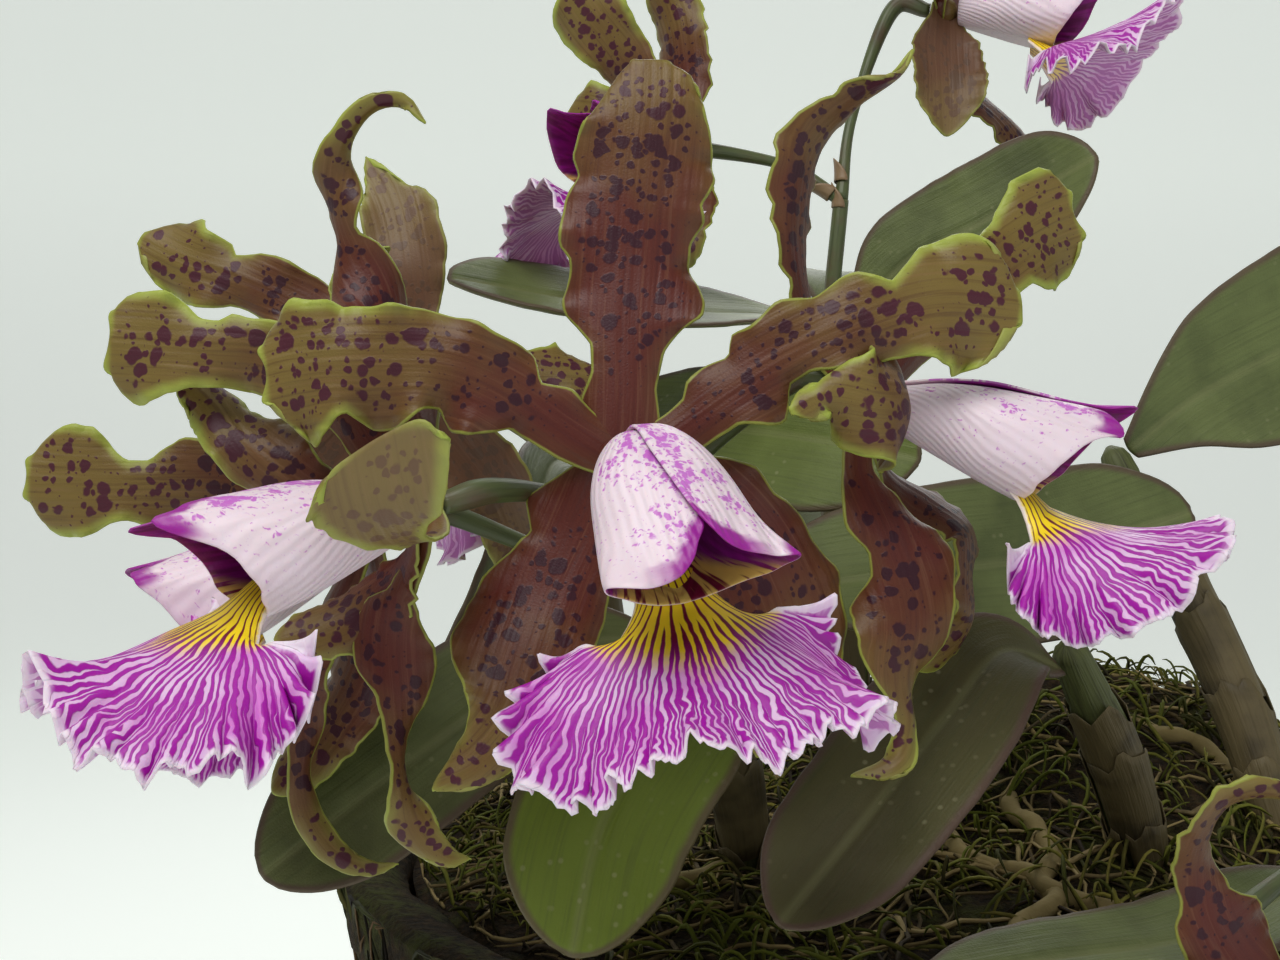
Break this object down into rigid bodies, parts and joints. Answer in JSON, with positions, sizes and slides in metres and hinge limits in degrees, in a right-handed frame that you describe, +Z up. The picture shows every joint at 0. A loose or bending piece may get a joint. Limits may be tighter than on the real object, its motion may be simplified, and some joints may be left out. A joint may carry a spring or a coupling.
{
  "type": "potted cattleya orchid in bloom",
  "caption": "Flowering cattleya orchid: slender leafy canes and stalks of spotted olive-brown blooms with magenta-veined white lips, rooted in a mossy fibre pot.",
  "frame": {"origin": "centre of the flat underside of the pot", "axes": "+Z up the pot's axis; -Y is the side that the front blooms face, as in the picture; +X to that viewer's right"},
  "size_m": [0.2861, 0.3029, 0.3443],
  "materials": {
    "tepal": "olive-brown petal flesh with maroon spots and a yellow-green rim, softly glossy",
    "lip": "white petal flesh with branching magenta veins and a yellow throat, satin",
    "column": "waxy white flushed with purple",
    "stalk": "smooth dark green stem, satin",
    "cane": "grey-green ribbed cane in papery sheaths",
    "leaf": "leathery olive-green leaf, satin",
    "medium": "matt moss, fibre and roots",
    "fibre": "matt tree-fern root fibre with moss"
  },
  "bodies": {
    "root": {"bloom_centre_sepals_petals": "tepal", "bloom_centre_lip": "lip", "bloom_centre_column": "column", "bloom_right_sepals_petals": "tepal", "bloom_right_lip": "lip", "bloom_right_column": "column", "bloom_left_sepals_petals": "tepal", "bloom_left_lip": "lip", "bloom_left_column": "column", "bloom_left_low_sepals_petals": "tepal", "bloom_left_low_lip": "lip", "bloom_left_low_column": "column", "bloom_left_far_sepals_petals": "tepal", "bloom_left_far_lip": "lip", "bloom_left_far_column": "column", "bloom_back_left_sepals_petals": "tepal", "bloom_back_left_lip": "lip", "bloom_back_left_column": "column", "bloom_back_right_sepals_petals": "tepal", "bloom_back_right_lip": "lip", "bloom_back_right_column": "column", "bloom_low_right_sepals_petals": "tepal", "bloom_low_right_lip": "lip", "bloom_low_right_column": "column", "cane_front_left": "cane", "cane_right": "cane", "cane_back": "cane", "cane_front_right": "cane", "cane_back_left": "cane", "cane_low_right": "cane", "cane_rear_right": "cane", "cane_rear_left": "cane", "leaf_left_low": "leaf", "leaf_right_broad": "leaf", "leaf_centre_low": "leaf", "leaf_right_big": "leaf", "leaf_front_right": "leaf", "leaf_back_right": "leaf", "leaf_back_left": "leaf", "leaf_rear": "leaf", "leaf_behind": "leaf", "leaf_behind_left": "leaf", "leaf_back_outer": "leaf", "leaf_low_right": "leaf", "leaf_rear_right": "leaf", "leaf_rear_inner": "leaf", "leaf_rear_left": "leaf", "stalk_front": "stalk", "stalk_back": "stalk", "stalk_low_right": "stalk", "medium_with_roots": "medium", "pot": "fibre"}
  },
  "joints": []
}
